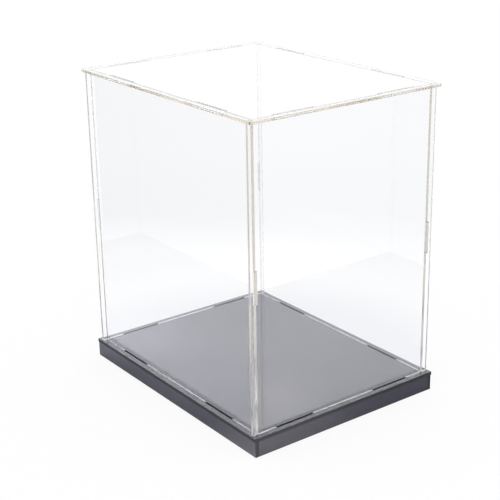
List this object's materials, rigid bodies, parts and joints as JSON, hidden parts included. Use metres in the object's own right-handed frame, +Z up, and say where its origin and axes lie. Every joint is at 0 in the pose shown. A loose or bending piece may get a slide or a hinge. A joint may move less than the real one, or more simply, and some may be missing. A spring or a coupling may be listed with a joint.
{
  "type": "football display case",
  "caption": "Tall clear acrylic display case on a low black base; slotted walls and top panel lock with tabs and lift straight off to reach the ball shown inside.",
  "frame": {"origin": "middle of the base's underside, on the surface that the case stands on", "axes": "+Z up, -Y towards the front wall, +X towards the right wall"},
  "size_m": [0.24, 0.305, 0.339],
  "materials": {
    "clear_acrylic": "clear polished sheet with laser-cut edges",
    "black_acrylic": "black polished sheet with laser-cut edges"
  },
  "bodies": {
    "base": {"base_board": "black_acrylic", "left_skirt": "black_acrylic", "right_skirt": "black_acrylic", "front_skirt": "black_acrylic", "back_skirt": "black_acrylic"},
    "cover": {"front_wall": "clear_acrylic", "back_wall": "clear_acrylic", "left_wall": "clear_acrylic", "right_wall": "clear_acrylic"},
    "top": {"top_panel": "clear_acrylic"}
  },
  "joints": [
    {"name": "cover_lift", "type": "slide", "parent": "base", "child": "cover", "axis": [0, 0, 1], "range_m": [0, 0.32]},
    {"name": "top_lift", "type": "slide", "parent": "cover", "child": "top", "axis": [0, 0, 1], "range_m": [0, 0.06]}
  ]
}
